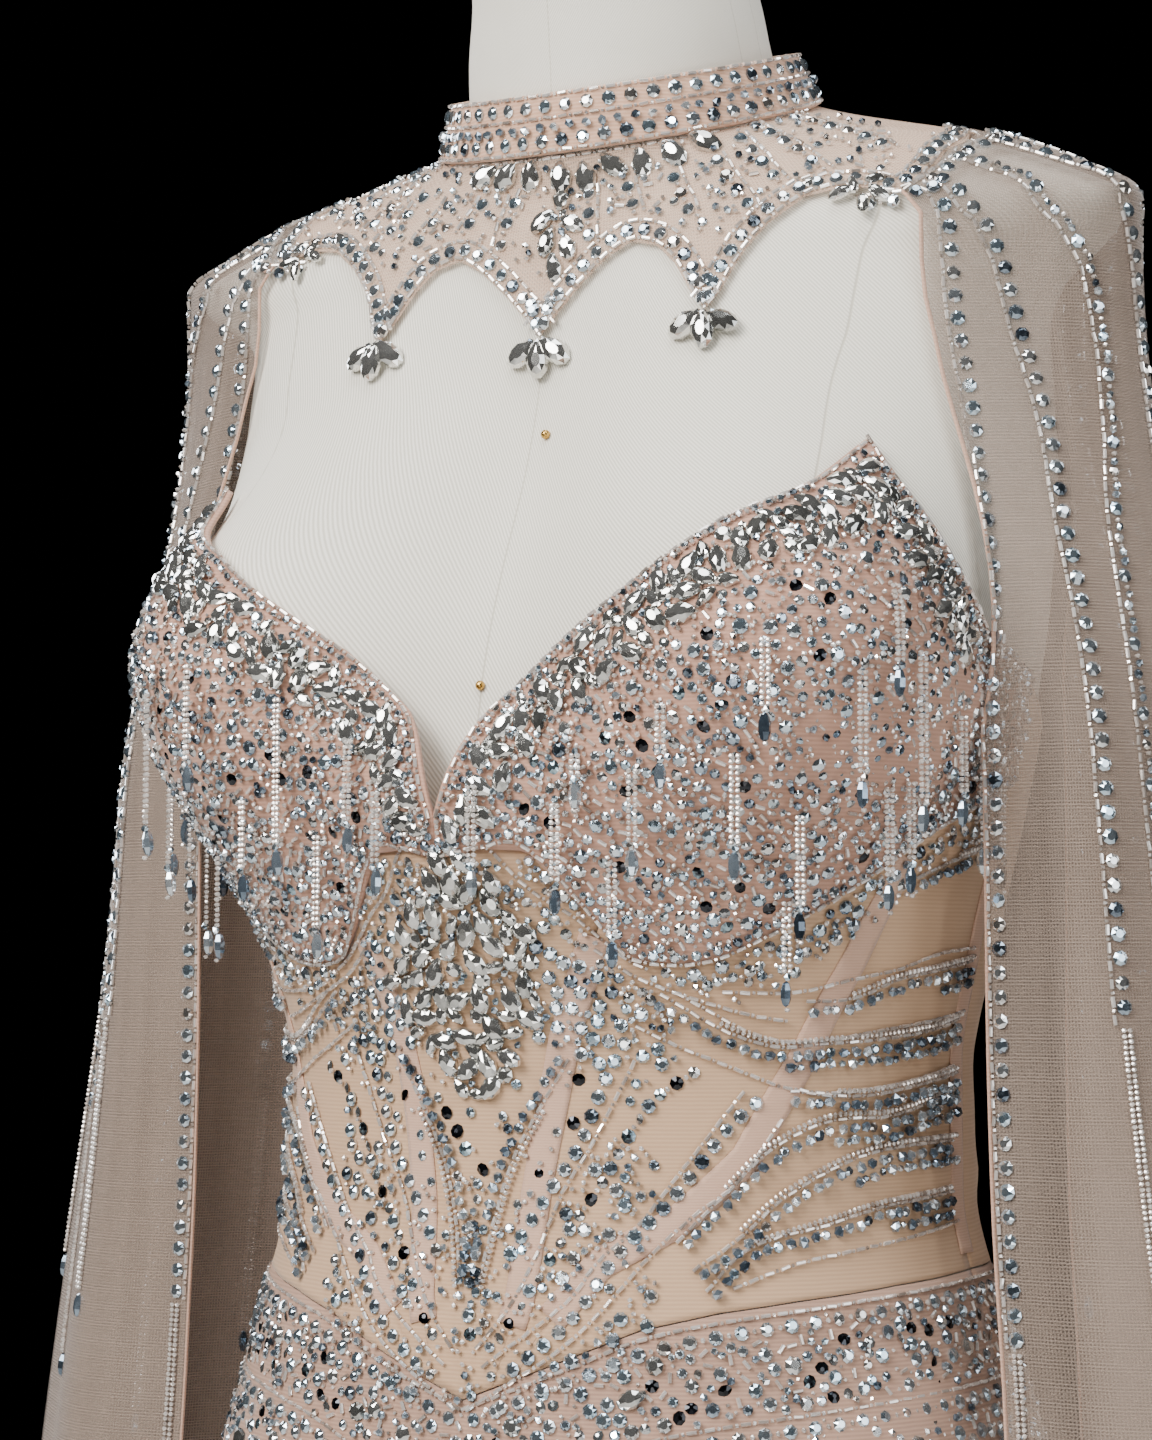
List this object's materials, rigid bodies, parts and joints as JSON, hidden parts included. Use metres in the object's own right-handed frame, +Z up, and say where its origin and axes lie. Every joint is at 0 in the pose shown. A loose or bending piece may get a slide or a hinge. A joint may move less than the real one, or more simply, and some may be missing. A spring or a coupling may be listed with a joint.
{
  "type": "evening gown on dress form",
  "caption": "Floor-length beaded evening gown with sheer shoulder capes, worn by a limbless dress form on a round stand.",
  "frame": {"origin": "centre of the stand's underside, on the floor", "axes": "+Z up, -Y towards the gown's front, +X towards the wearer's left"},
  "size_m": [0.7144, 0.4887, 1.5367],
  "materials": {
    "form_cover": "matte ivory twill",
    "stand_metal": "satin black",
    "cap_wood": "satin",
    "yoke_mesh": "sheer nude mesh with bead rows",
    "cup_mesh": "peach mesh packed with stones",
    "bodice_mesh": "sand mesh with bead lines",
    "skirt_mesh": "nude mesh with bead lines",
    "channel_tape": "matte pink tape",
    "cape_tulle": "sheer taupe tulle with bead lines",
    "stones": "foiled cut glass"
  },
  "bodies": {
    "root": {"stand_foot": "stand_metal", "stand_pole": "stand_metal", "form_torso": "form_cover", "neck_cap": "cap_wood", "cup_left": "cup_mesh", "cup_right": "cup_mesh", "centre_front": "bodice_mesh", "middle_front_left": "bodice_mesh", "middle_front_right": "bodice_mesh", "side_front_left": "bodice_mesh", "side_front_right": "bodice_mesh", "front_channel_left": "channel_tape", "front_channel_right": "channel_tape", "sweep_channel_left": "channel_tape", "sweep_channel_right": "channel_tape", "side_channel_left": "channel_tape", "side_channel_right": "channel_tape", "back_bodice_left": "bodice_mesh", "back_bodice_right": "bodice_mesh", "skirt_front": "skirt_mesh", "skirt_back_left": "skirt_mesh", "skirt_back_right": "skirt_mesh", "yoke_front": "yoke_mesh", "yoke_back_left": "yoke_mesh", "yoke_back_right": "yoke_mesh", "collar": "yoke_mesh", "cape_left": "cape_tulle", "cape_right": "cape_tulle", "upper_fringe_left": "stones", "upper_fringe_right": "stones", "lower_fringe_left": "stones", "lower_fringe_right": "stones", "yoke_drop_centre": "stones", "yoke_drop_left": "stones", "yoke_drop_right": "stones"}
  },
  "joints": []
}
